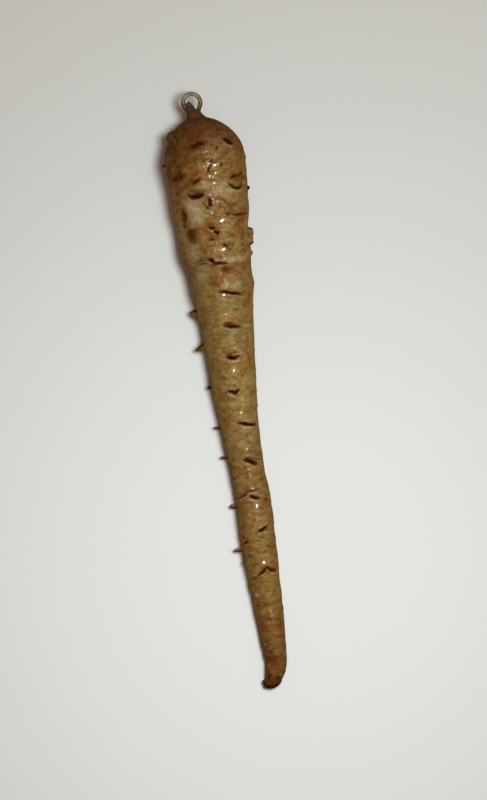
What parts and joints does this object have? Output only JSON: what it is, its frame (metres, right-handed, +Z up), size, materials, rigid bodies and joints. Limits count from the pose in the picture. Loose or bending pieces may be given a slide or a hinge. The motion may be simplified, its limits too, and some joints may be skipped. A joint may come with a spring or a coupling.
{
  "type": "horseradish root with hanging eye",
  "caption": "Glossy lacquered horseradish root lying on its side, thick at the crown and tapering to a blunt hooked tip, with a small bent-wire hanging eye in its neck.",
  "frame": {"origin": "on the resting surface, under the middle of the box round the root and its eye", "axes": "+Y along the root from its tip to its crown and eye, +Z up from the surface it lies on, +X across it"},
  "size_m": [0.0332, 0.2408, 0.032],
  "materials": {
    "root_skin": "dried brown root skin, darker on the crown and redder at the tip, with dark scars and pale patches under a glossy uneven lacquer",
    "eye_wire": "tarnished drawn wire, dull olive brown outside and paler inside, smeared with lacquer where it leaves the root"
  },
  "bodies": {
    "root": {"horseradish_root": "root_skin", "hanging_eye": "eye_wire"}
  },
  "joints": []
}
